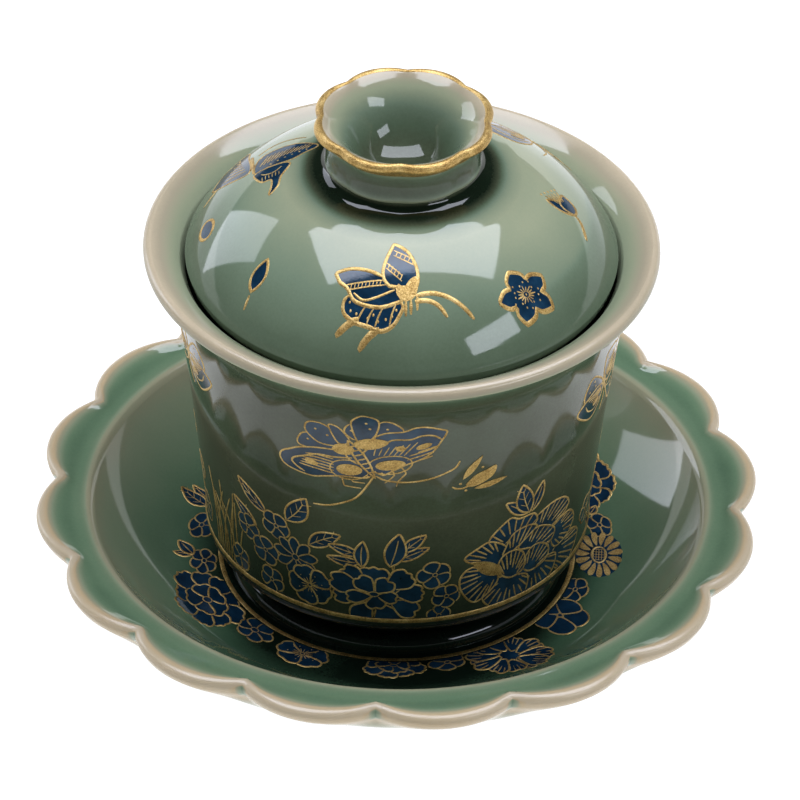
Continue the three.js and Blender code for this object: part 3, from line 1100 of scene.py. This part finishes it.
def wall_butterfly(art):
    """A swallowtail seen from the side: striped fore wings, spotted hind lobes."""
    for shape in ([(-8, 54), (-7.6, 52), (-4.5, 51.9)], [(-6.3, 54), (-6, 53.3), (-3.8, 53.3)],
                  [(2.5, 58), (3.5, 56.3), (2.1, 54.3), (1.8, 53)],
                  [(0.8, 57.3), (1.5, 55.9), (0.5, 54.5), (-0.3, 53.7)]):
        art.line(shape, 0.36, curved=False)
    art.line([(-2.2, 55.3), (-3.5, 52.5), (-5.5, 49.3), (-8, 47.5), (-11, 46.1), (-13.7, 45.7)], 0.5)
    art.line([(-1.8, 55.3), (0, 54.3), (4, 54), (8, 54.7), (11, 56), (12.4, 57), (12.9, 58.4)], 0.5)
    # Ribbed body and the eyes.
    for k in range(7):
        x, y = -6.0 + 0.58 * k, 62.2 - 1.0 * k
        art.dash((x - 0.7, y - 0.3), (x + 0.7, y + 0.35), 0.5)
    art.shape(leaf((-6.7, 63.6), (-2, 54.8), 1.9))
    art.dot((-3.2, 55), 0.34)
    art.dot((-0.8, 56.1), 0.34)
    # The gold bars at the root of each wing, inside a blue crescent.
    for centre, wide, high, turn in (((-6.6, 56.2), 2.4, 1.4, 8), ((0.7, 58.3), 2.7, 1.25, 12)):
        art.blob(oval(centre, wide, high, turn))
        art.line(oval(centre, wide + 1.15, high + 1, turn), 0.36, closed=True)
    for shape in ([(-9.6, 60.8), (-8.8, 62.2), (-7, 62.6), (-5.6, 61.6), (-6.2, 60.2), (-8.2, 59.8)],
                  [(-5.6, 63.2), (-3.6, 64.6), (-1, 64.8), (0.4, 64), (-1.4, 62.4), (-4.2, 61.9)]):
        art.round_blob(*shape)
    # Fore wings: an inner band line, and gold stripes between it and the root.
    art.line([(-4, 62.5), (-1, 63), (1, 64.7), (4, 64.9), (6, 65.8), (8, 65.7), (9.5, 64.4)])
    art.line([(-6, 59.3), (-9, 58.8), (-12.5, 58.5), (-14.8, 57.3), (-17, 56), (-17.5, 55),
              (-16.5, 54), (-15, 53.3)])
    for k in range(7):
        t = k / 6
        art.dash((-2.2 + 5.2 * t, 60.5 + 0.3 * t), (-1.9 + 7.2 * t, 62.2 + 2.0 * t), 0.3)
    for x, y, reach in ((3.6, 59.7, 4.6), (3.9, 60.7, 4.8), (4.6, 59.1, 3.4), (5.4, 61.6, 3.6)):
        art.dash((x, y), (x + reach, y + 0.42 * reach), 0.42)
    art.blob(oval((2.4, 62.6), 0.9, 0.7, 15))
    art.blob(oval((6.4, 63.1), 1.5, 0.65, 24))
    for k in range(6):
        y = 54.6 + 0.72 * k
        art.line([(-9.4, y), (-12.4, y + 0.25), (-16 + 0.28 * k, y + 0.45 - 0.12 * k)], 0.4)
    art.blob(oval((-13.6, 56.2), 1.3, 0.7, -8))
    art.round_shape((-6.2, 58.6), (-8, 60.5), (-12, 60.3), (-15.5, 59.2), (-17.5, 58), (-19.5, 56.5),
                    (-19.9, 54.8), (-18.5, 53.3), (-14, 52.7), (-11, 53.5), (-8, 54.3), (-3.2, 54.8),
                    (-3, 56.8), width=0.46)
    art.shape([(-4, 61), (-2, 63.8)]
              + smooth((-2, 65.3), (0, 66.5), (3, 67), (5, 68), (7, 68), (10.3, 66.7), step=0.5)
              + smooth((10, 65.5), (9.3, 64), (8, 61.5), (6, 59.8), (3, 58.2), (-0.5, 55.6), step=0.5)
              + [(-2.6, 56.6)], width=0.46)
    # Spotted lobes of the hind wings.
    lobes = [
        ([(-8.4, 62.6), (-10, 66.7), (-8.5, 66.8), (-7, 65), (-6.4, 63.2)], []),
        ([(-2, 65.5), (-4.6, 63.2), (-6, 68), (-5, 70), (-3.5, 70.7), (-1.3, 69.5)],
         [(-3.4, 68.7), (-2.8, 67.3)]),
        ([(-1.9, 66), (-1, 69.2), (1, 69.3), (2.9, 67.2), (1, 65.8)], [(0.2, 67.5)]),
        ([(-5.2, 64), (-7.2, 65.6), (-6.6, 67.6), (-5.5, 68), (-4.4, 66.4)], [(-6, 66.3)]),
        ([(-7.4, 62.2), (-11.6, 61.6), (-14.2, 63.8), (-14, 66), (-12.5, 66.8), (-10.5, 66.5), (-8.7, 64.3)],
         [(-12.4, 65), (-10.3, 64)]),
        ([(-8.4, 60.6), (-15.6, 59.8), (-15.4, 62.5), (-14, 63.5), (-12, 63.6), (-10.3, 62.5), (-8.8, 61.6)],
         [(-14, 61.8), (-11.7, 61.8)]),
    ]
    for outline, spots in lobes:
        for spot in spots:
            art.dot(spot, 0.32)
        art.round_shape(*outline, width=0.42)
    art.done()


def gold_sprig(art):
    """Three solid gold leaves on a hooked stem."""
    art.blob(leaf((13.7, 53.5), (17.1, 58.7), 1.5))
    art.round_blob((14.3, 52), (16, 54), (18, 54.8), (20, 55.4), (19.5, 53), (17, 51.5), (15, 51.3))
    art.blob(leaf((16, 50.7), (22.5, 51.6), 1.4, -0.1))
    art.line([(11.8, 52), (12.5, 51.4), (14, 51.2), (15.2, 51.9)], 0.5)
    for spot in ((13.3, 52.4), (14.4, 50.5), (17.3, 55.6)):
        art.dot(spot, 0.34)


def leaf_spray(art, x, y):
    """A tall leaf with two smaller ones beside it, on one stem."""
    art.at(x, y)
    veined_leaf(art, (-0.2, 1.4), (1.5, 9.9), 4, -0.06, veins=0)
    veined_leaf(art, (2.2, 5.2), (6.5, 9.4), 2.5, 0.05, veins=2)
    veined_leaf(art, (1, 3), (7.2, 6.1), 2.4, 0.05, veins=2)
    art.line([(0.1, 2), (0.4, 0), (0.6, -1.6)], 0.36)
    art.dash((0.8, 3), (0.5, 0.5), 0.36)
    art.at()


def leaf_trio(art, x, y):
    """An upright leaf and two lying to the left."""
    art.at(x, y)
    veined_leaf(art, (0.2, -0.4), (0.5, 6.2), 2.7, 0.1, veins=0)
    veined_leaf(art, (-0.2, 2.6), (-6.4, 4), 2.3, veins=2)
    veined_leaf(art, (-0.2, 0.6), (-6.8, 0.9), 2.2, 0.12, veins=2)
    art.dash((0, 1), (0.1, -1.6), 0.36)
    art.at()


# Petals of the middle peony, its heart first: base, tip, width and number of ruffles.
PEONY = [
    ((-2.4, 25.6), (-5.6, 29.2), 4.4, 2), ((-1.8, 25.6), (0.9, 29), 4.4, 2),
    ((-2.8, 24.6), (-8, 23.8), 3.4, 2), ((-1.6, 24.9), (2.4, 24.2), 3.2, 2),
    ((-2.2, 24.8), (-1.8, 21.4), 4.2, 2), ((-4.5, 26.5), (-11.3, 27.6), 5.4, 2),
    ((-4, 27.5), (-8.6, 31), 5, 2), ((-2.3, 27), (-2.3, 32.2), 6.4, 3), ((0.3, 27), (5, 30.6), 5.6, 3),
    ((1.8, 25.5), (7.6, 25.6), 4.8, 3), ((1, 23.6), (6.4, 20.6), 4.8, 2),
    ((-1.2, 23), (1.2, 17.6), 5.4, 2), ((-3, 23), (-6, 18.2), 5, 2), ((-4.5, 24.6), (-10.6, 23.4), 4, 2),
]
# Petals of the striped lotus, the front ones first: the point that its stripes fan out
# from, their number, and the outline.
LOTUS = [
    ((25.6, 23), 10, [(22.5, 27.5), (23.5, 30.8), (26.5, 31.2), (28.7, 29), (28.8, 25.4), (25.5, 24.6)]),
    ((29.5, 23), 9, [(28.6, 26), (30, 29.5), (32.4, 29.9), (35.4, 27.6), (35.4, 24.6), (31, 23.8)]),
    ((28.5, 28.5), 8, [(27, 31.2), (29, 33.3), (32, 34.4), (36.8, 31.2), (35.6, 28.2), (31.4, 29.6)]),
    ((25.5, 29), 8, [(23.6, 30.6), (24, 33), (25.5, 35.8), (29, 36.2), (31.4, 34.6), (28, 32.6)]),
    ((23, 28.4), 10, [(21.8, 27.8), (17, 30.2), (14.6, 28), (15.2, 24.2), (18.2, 21.2), (22.6, 24.6)]),
    ((23.2, 30), 8, [(22.6, 28.8), (18, 30.6), (15.2, 32.8), (18, 34.9), (20.6, 35.6), (24.2, 32.6)]),
    ((25.4, 32.4), 9, [(22.6, 33.4), (20, 36), (24, 39.9), (26.4, 39), (30, 38.6), (30.8, 36), (26, 35.6)]),
    ((31, 31.4), 9, [(31.2, 34.6), (30.6, 37.2), (35, 38.6), (39, 37.4), (40.6, 34.6), (36.4, 32)]),
    ((26, 25.6), 11, [(22, 25.6), (19.6, 22), (21.4, 19.2), (25.4, 18.4), (29.8, 19.4), (30.2, 23.2),
                      (26, 24.8)]),
    ((31.6, 26), 10, [(30, 23.4), (29.8, 19), (34, 18.6), (38, 20.4), (38.4, 24), (34.6, 24.8)]),
    ((35.6, 30), 8, [(36, 29), (36.8, 32), (41.4, 32.6), (44, 29.4), (42.4, 26.4), (38, 25.8)]),
    ((34, 26), 9, [(37.6, 25.4), (43, 26.6), (47.4, 24), (46.4, 20.6), (41.6, 18.8), (38, 21)]),
]


def striped_outline(art, centre, stripes, outline):
    """A petal whose gold stripes run in from its far edge towards a point."""
    edge = resample(rounded(outline, closed=True), 0.2, closed=True)
    reach = np.linalg.norm(edge - centre, axis=1)
    far = edge[reach > 0.62 * reach.max()]
    for k in range(stripes):
        tip = far[int((k + 0.5) * len(far) / stripes)]
        length = 0.42 + 0.1 * (k % 2)
        art.line([tip + (np.array(centre) - tip) * t for t in (0.02, length / 2, length)], 0.5)
    art.shape(edge)


def scatter(art, *rows):
    """Simple flowers of five petals, each from its place, radius, turn and ring."""
    for x, y, radius, turn, ring in rows:
        flower(art, (x, y), radius, 5, turn, ring)


def wall_garden(art):
    """Peony, lotus and small flowers that grow from the gold band."""
    wall_butterfly(art)
    gold_sprig(art)
    # The peony in the middle, with leaves over it.
    art.shape(oval((-2.3, 25.2), 1, 0.6), FINE_LINE)
    for base, tip, width, ruffles in PEONY:
        art.shape(petal(base, tip, width, ruffles))
    art.done()
    leaf_spray(art, 1, 31)
    leaf_trio(art, -4.8, 32.2)
    scatter(art, (9.5, 30, 3.4, 110, 0.14), (12, 24.2, 2.9, 60, 0.16), (10.6, 19.6, 2.4, 90, 0.2))
    # The lotus on the right, with its gold calyx and a sprig of leaves.
    art.blob(leaf((23.6, 26.6), (16.8, 31.6), 3))
    for centre, stripes, outline in LOTUS:
        striped_outline(art, centre, stripes, outline)
    art.done()
    veined_leaf(art, (28.7, 39.6), (26.3, 47.5), 3.8, 0.1)
    veined_leaf(art, (28.4, 39.6), (22.9, 44.3), 2.6, veins=0)
    veined_leaf(art, (29.3, 39.6), (31.4, 46.2), 2.4, -0.1, veins=0)
    # Left: plum blossom, aster, small flowers and leaves.
    plum_blossom(art, (-15.4, 24.4), 4.8, 40)
    aster(art, (-18.3, 30.3), 4.9, 9, 12)
    scatter(art, (-22.3, 36.3, 3.3, 60, 0.16), (-24.5, 21.8, 3, 120, 0.16), (-25.6, 28.6, 3.4, 80, 0.14),
            (-33.8, 22.2, 2.9, 100, 0.16), (-30.2, 32, 3, 70, 0.16))
    veined_leaf(art, (-19.8, 39), (-15.2, 46.2), 4.2, -0.12)
    veined_leaf(art, (-24.6, 38.4), (-31.6, 43.6), 3, 0.1)
    veined_leaf(art, (-15.2, 34.6), (-8.6, 39), 3.4, 0.1)
    veined_leaf(art, (-27.6, 33.6), (-33.6, 37.6), 2.6, 0.1, veins=2)
    for k in range(12):
        x = -43 + 0.85 * k
        lean = 4.2 * sin(1.9 * k)
        art.line([(x, 19.6), (x + 0.1 * lean, 25), (x + 0.45 * lean, 30), (x + lean, 33 + 2.2 * (k % 3))],
                 0.42)
    art.done()


def side_butterfly(art, x, y, turn, scale=1):
    """A smaller butterfly with open wings."""
    art.at(x, y, turn, scale)
    art.line([(0.3, -2.4), (1.8, -4.6), (4.2, -6)], 0.36)
    art.line([(-0.3, -2.4), (-1.4, -4.8), (-3.8, -6.4)], 0.36)
    art.line([(0, 3), (0, 0), (0, -2.6)], 0.95)
    for side in (-1, 1):
        def mirrored(*points):
            return [(side * px, py) for px, py in points]

        for k in range(5):
            t = 0.25 + 0.13 * k
            art.dash(*mirrored((1.6, 0.3 + 0.35 * k), (4.6 + 3 * t, 0.2 + 1.1 * k)), 0.42)
        art.line(mirrored((2.4, -1.4), (5.6, -1.6), (7.6, 0.8), (7.8, 3.4)), 0.42)
        art.blob(oval((side * 4.4, -0.2), 1.5, 0.7, side * 20))
        art.round_shape(*mirrored((0.6, 0.4), (3.4, -2.6), (7.4, -2.8), (9.8, 0.6), (10.6, 4.6), (6.2, 4.8),
                                  (2.4, 3.4)))
        for spot in mirrored((3.2, 5.4), (5.4, 6.2), (3, 7.4)):
            art.dot(spot, 0.32)
        art.round_shape(*mirrored((0.5, 2.4), (4.4, 3.6), (7.6, 5), (6.6, 7.8), (3.4, 9.6), (1.6, 7)))
    art.done()
    art.at()


def above_band(points):
    return np.stack([points[:, 0], np.maximum(points[:, 1], BAND_TOP)], -1)


bowl_art = Canvas(wall_surface(WALL), above_band)
HALF_TURN = pi * WALL_RADIUS  # the same garden is painted again on the far side
SIDE_PEONY = 59.5  # from the middle of a garden to the peony beside it
side_butterfly(bowl_art, 48.5, 58.5, 30, 0.85)
side_butterfly(bowl_art, -46.5, 62.5, -24, 0.85)
wall_garden(bowl_art)
bowl_art.origin = np.array([HALF_TURN, 0])
wall_garden(bowl_art)
bowl_art.origin = np.zeros(2)
for middle in (HALF_TURN - SIDE_PEONY, -SIDE_PEONY):
    peony(bowl_art, (middle, 25.6), 8.2, 20)
    leaf_spray(bowl_art, middle - 1, 33.2)
    scatter(bowl_art, (middle + 10.4, 24.5, 3.2, 80, 0.16), (middle - 10.2, 26.5, 3.2, 110, 0.16),
            (middle + 8.6, 32.5, 2.8, 60, 0.16))
side_butterfly(bowl_art, HALF_TURN - SIDE_PEONY, 55, 12)


# ---- Painting on the lid ----

def swallowtail(art):
    """A butterfly from above: a pointed fore wing, a tailed hind wing and one wing beyond the body."""
    art.line([(-28.6, 11.4), (-28.2, 7.5), (-27.6, 3)], 0.75)
    art.line([(-27.3, 10.3), (-25, 11.8), (-22.2, 11.8), (-18.5, 10.4)], 0.34)
    art.dash((-34.8, 7), (-37, 4.2), 0.4)
    for k in range(13):  # ribs of the fore wing
        t = k / 12
        x, y = -26.7 + 8.4 * t, 4.7 + 1.1 * t
        art.dash((x, y), (x + 1.4, y + 2.9 - 1.6 * t), 0.34)
    for k in range(6):
        art.dot((-24.6 + 1.3 * k, 3.9 + 0.3 * k), 0.24)
    art.line([(-26.2, 1.5), (-25.2, 0.7), (-23.6, 0.6), (-22.4, 1.6)], 0.4)
    for k in range(6):  # fringe of the hind wing
        x = -25.9 + 0.62 * k
        art.dash((x, 0.3), (x + 0.1, -0.9), 0.3)
    art.round_shape((-27.4, 2.6), (-27, 0.6), (-25.7, -1.3), (-24.1, -1.6), (-23.9, -3.6), (-24.2, -6),
                    (-22.7, -4.2), (-22.3, -1.6), (-20.9, 2), (-24.4, 2.9), width=0.45)
    art.round_shape((-27.6, 3.2), (-25, 3.1), (-21.2, 2.9), (-18.4, 4.4), (-16, 6.2),
                    (-19.5, 8.4), (-23.6, 9.2), (-26.9, 8.2), width=0.4)
    for k in range(6):  # ribs of the wing beyond
        art.dash((-29.4 - 0.3 * k, 6.2 + 1.3 * k), (-33.6 + 0.5 * k, 7.6 + 1.5 * k), 0.36)
    art.round_shape((-28.8, 4.4), (-34.9, 7), (-35.4, 9.5), (-33.5, 14), (-29.8, 16.8), (-29.2, 12),
                    width=0.4)
    art.done()


def lid_butterfly(art):
    """A butterfly from the side: two wings up, a spotted hind wing, tails below."""
    art.line([(4.2, -30), (7, -29.2), (10, -29.2), (12.8, -29.9), (15, -31)], 0.85)
    art.line([(4.2, -30.8), (6.5, -30.4), (8.5, -30.8), (10.2, -32)], 0.85)
    for x, y in ((2.7, -33), (3.6, -32.7), (4.7, -32)):
        art.dash((x - 0.2, y + 2.2), (x, y), 0.7)
    art.line([(-5.8, -33.4), (-7.6, -33.9), (-9.9, -35.1)], 1.3)
    art.line([(-2, -34.8), (-3.8, -35.7), (-5.6, -37.2)], 1.3)
    # The body: a gold teardrop, and the wing root in front of it.
    art.round_blob((1, -28.4), (0.6, -29.6), (1.8, -30.9), (3.6, -30.6), (4.5, -29.2), (4.4, -27),
                   (3, -27.6), (2, -29))
    # Upper wing, with two ladders of gold dashes across it.
    ladder = 0.9
    for start, end in (((-0.2, -23.8), (3.6, -25.2)), ((-1.4, -26), (1.6, -28))):
        for edge in (0, ladder):
            art.dash((start[0], start[1] + edge), (end[0], end[1] + edge), 0.26)
        for k in range(5):
            t = (k + 0.5) / 5
            x, y = start[0] + (end[0] - start[0]) * t, start[1] + (end[1] - start[1]) * t
            art.dash((x, y), (x + 0.35, y + ladder), 0.3)
    art.shape([(1.2, -29)]
              + smooth((-0.6, -28.9), (-1.6, -27.9), (-1.9, -26.4), (-1.3, -24.2), (-0.2, -21.7), step=0.5)
              + smooth((1.2, -22.3), (2.6, -23.3), (4, -25.4), (4.5, -27.6), (4.2, -28.8), step=0.5),
              width=0.75)
    # Left wing and its dashed band.
    for k in range(11):
        x = -7.6 + 0.66 * k
        art.dash((x, -29.1 + 0.05 * k), (x + 0.15, -28.4 + 0.05 * k), 0.3)
    art.line([(-8.2, -29.2), (-4, -28.9), (0, -28.6)], 0.3)
    art.line([(-8.6, -28.4), (-4, -28.1), (0, -27.9)], 0.3)
    art.line([(-7, -29.7), (-5.2, -30.9), (-2.6, -30.5), (0.4, -29.4)], 0.5)
    art.shape(smooth((1, -29.4), (-2, -27.4), (-5, -26.3), (-8, -25.9), (-10.5, -26.3), step=0.5)
              + smooth((-9.6, -27.9), (-8.2, -28.9), (-6.6, -31), (-2.2, -32), (1.8, -31), step=0.5),
              width=0.75)
    # Hind wing: rows of spots in cells.
    for spot in ((-7.6, -31), (-6.4, -31.2), (-7.4, -32.2), (-6.3, -32.7), (-4.2, -33.4), (-3.2, -33),
                 (-2.3, -33.9), (-0.9, -33.6), (0.2, -33.2), (0.9, -32.3)):
        art.dot(spot, 0.26)
    for row in ([(-6, -33.6), (-4.9, -32), (-3.2, -31.2)], [(-2.9, -34.8), (-2.1, -32.9), (-1, -31.4)],
                [(-0.2, -34.5), (0.1, -33), (0.8, -31.4)], [(-4.4, -34.3), (-3.6, -32.6), (-2.2, -31.3)]):
        art.line(row, 0.42)
    art.round_shape((-6.5, -30), (-8.2, -30.2), (-8.8, -31.2), (-8.5, -32.5), (-6.5, -33.8), (-4, -34.5),
                    (-2.5, -35), (-1, -35), (0.5, -34.3), (1.5, -33), (2, -31.5), (-1, -30.6), width=0.75)
    art.done()


def star_blossom(art, centre, turn=0, scale=1, stretch=1, along=0):
    """A blue flower with five pointed petals, gold rays and a ring of gold dots."""
    art.at(*centre, turn, scale, stretch, along)
    for k in range(15):
        bearing = 24 * k + 8
        art.dash(around((0, 0), 0.45, bearing), around((0, 0), 1.35 + 0.3 * (k % 2), bearing), 0.32)
        art.dot(around((0, 0), 2.15 + 0.45 * sin(2.3 * k), bearing + 12), 0.19)
    art.dot((0, 0), 0.2)
    outline = []
    for k in range(5):
        bearing = 66 + 72 * k
        for side in (-1, 1):
            edge = [(2.75, 36), (3.75, 25), (4.4, 10), (4.85, 0)][::-side]
            outline += smooth(*[around((0, 0), reach, bearing + side * off) for reach, off in edge],
                              step=0.5)[:-1]
    art.shape(outline, width=0.8)
    art.done()
    art.at()


def bud(art, centre, turn, stretch, along):
    """A half-open bud with gold stamens, on a short stem."""
    art.at(*centre, turn, 1.15, stretch, along)
    for k in range(-2, 3):
        art.dash((-1.2, 0.3 * k), (-3.4, 0.62 * k), 0.42)
        art.dot((-4, 0.75 * k), 0.26)
    art.line([(1.6, 0), (3.4, -0.3), (6.4, -2.2)], 0.75)
    for side in (1, -1):
        art.shape(leaf((1.8, 0), (-2.6, 1.7 * side), 2.3, 0.12 * side), width=0.6)
    art.done()
    art.at()


def on_dome(points):
    radius = np.hypot(points[:, 0], points[:, 1])[:, None]
    return points * np.minimum(radius, 37.8) / radius


lid_art = Canvas(plan_surface(DOME), on_dome)
lid_butterfly(lid_art)
star_blossom(lid_art, (24, -23.7), 6, 0.96, 1.25, 40)
star_blossom(lid_art, (-6.5, 30.5), 30, 0.95)
swallowtail(lid_art)
side_butterfly(lid_art, 23, 22, 48)
bud(lid_art, (30.2, -0.4), -26, 1.3, 50)
lid_art.shape(leaf((-26, -24.2), (-23.3, -20.2), 2.9), width=0.6)
lid_art.shape(oval((-35.7, -4.8), 1.25, 2.4, 6), width=0.6)
lid_art.dash((-27.2, -26.2), (-26.3, -24.6), 0.6)
lid_art.done()


# ---- Painting on the floor of the saucer ----

# The flowers of the wreath are a little longer along the ring than across it.
WREATH_STRETCH = 1.24


def wreath_flowers(art, *rows):
    """Flowers, each from its motif, place, radius and the motif's own settings."""
    for motif, x, y, radius, *settings in rows:
        art.at(x, y, stretch=WREATH_STRETCH, along=degrees(atan2(x, -y)))
        motif(art, (0, 0), radius, *settings)
    art.at()


def floor_flowers(art):
    """A wreath of flowers and leaves outside the gold ring."""
    # Left side.
    veined_leaf(art, (-37, 10.6), (-42.3, 14.8), 3.2)
    veined_leaf(art, (-36.6, 12.4), (-40.2, 16.4), 2, veins=2)
    wreath_flowers(art, (flower, -37.6, 4.6, 3.2, 5, 100, 0.18))
    veined_leaf(art, (-38.4, -4.6), (-41.6, -0.4), 2.4, veins=0)
    veined_leaf(art, (-38.4, -4.6), (-42.2, -4.2), 1.8, veins=0)
    # Left to front.
    wreath_flowers(art, (flower, -36.2, -6.4, 3.2, 6, 80, 0.18), (peony, -34.6, -18.2, 7.6, 35, 9),
                   (flower, -25, -26.6, 3.5, 6, 20, 0.2), (plum_blossom, -15.6, -33, 4.3, 70),
                   (peony, 1.6, -35.2, 4.6, 10), (flower, 11.6, -33.4, 2.9, 5, 60, 0.18))
    middle = (23, -30.4)
    for k in range(11):
        bearing = 34 * k - 20
        reach = 7.4 + 1.4 * cos(radians(bearing - 30)) ** 2
        striped_petal(art, around(middle, 1.8, bearing, 0.7), around(middle, reach, bearing, 0.7), 4.3)
    art.done()
    # Right side.
    flower(art, (31.9, -17.7), 5.4, 5, 62, 0.1)
    wreath_flowers(art, (flower, 34.4, -9.6, 3.1, 5, 55, 0.16), (chrysanthemum, 38.4, 1.4, 5.7),
                   (flower, 38.2, 10.6, 3, 5, 30, 0.18))
    veined_leaf(art, (36.2, 13.8), (37.2, 16.6), 1.6, veins=0)
    wreath_flowers(art, (peony, 34.6, 23.8, 6.6, 12, 9), (plum_blossom, 20.5, 34.8, 4.4, 60))
    # Behind the bowl.
    veined_leaf(art, (14.2, 37.6), (8.6, 40.2), 3)
    wreath_flowers(art, (peony, 1.5, 37.6, 5.6, 10), (flower, -8.8, 37.2, 3.1, 5, 80, 0.16),
                   (chrysanthemum, -18.6, 34.2, 4.6), (flower, -27.2, 29.2, 3.2, 5, 40, 0.16),
                   (flower, -34.2, 19.8, 4.2, 5, 25, 0.12))


def outside_ring(points):
    radius = np.hypot(points[:, 0], points[:, 1])[:, None]
    return points * np.maximum(radius, RING_RADIUS) / radius


PAINTED_FLOOR = straight((31.9, SAUCER_FLOOR, 0), (40.5, SAUCER_FLOOR, 0)) + SAUCER_WELL
saucer_art = Canvas(plan_surface(PAINTED_FLOOR), outside_ring)
floor_flowers(saucer_art)

for art, body in ((bowl_art, "bowl"), (lid_art, "lid"), (saucer_art, "saucer")):
    art.gold.piece(body + "_gold", body, "fired_gold")
    art.cobalt.piece(body + "_cobalt", body, "cobalt_enamel")


# ---- Gold bands ----

def band(body, path):
    section = overlay(path, GOLD_HEIGHT, SUNK)
    dress(revolve(body + "_gold_band", section, ROUND_SEGMENTS, closed=True), body, "fired_gold")


band("bowl", [(36.3, z, 0) for z in np.linspace(18.25, 19.3, 8)])
band("saucer", [(r, SAUCER_FLOOR, 0) for r in np.linspace(34.1, 32.9, 8)])
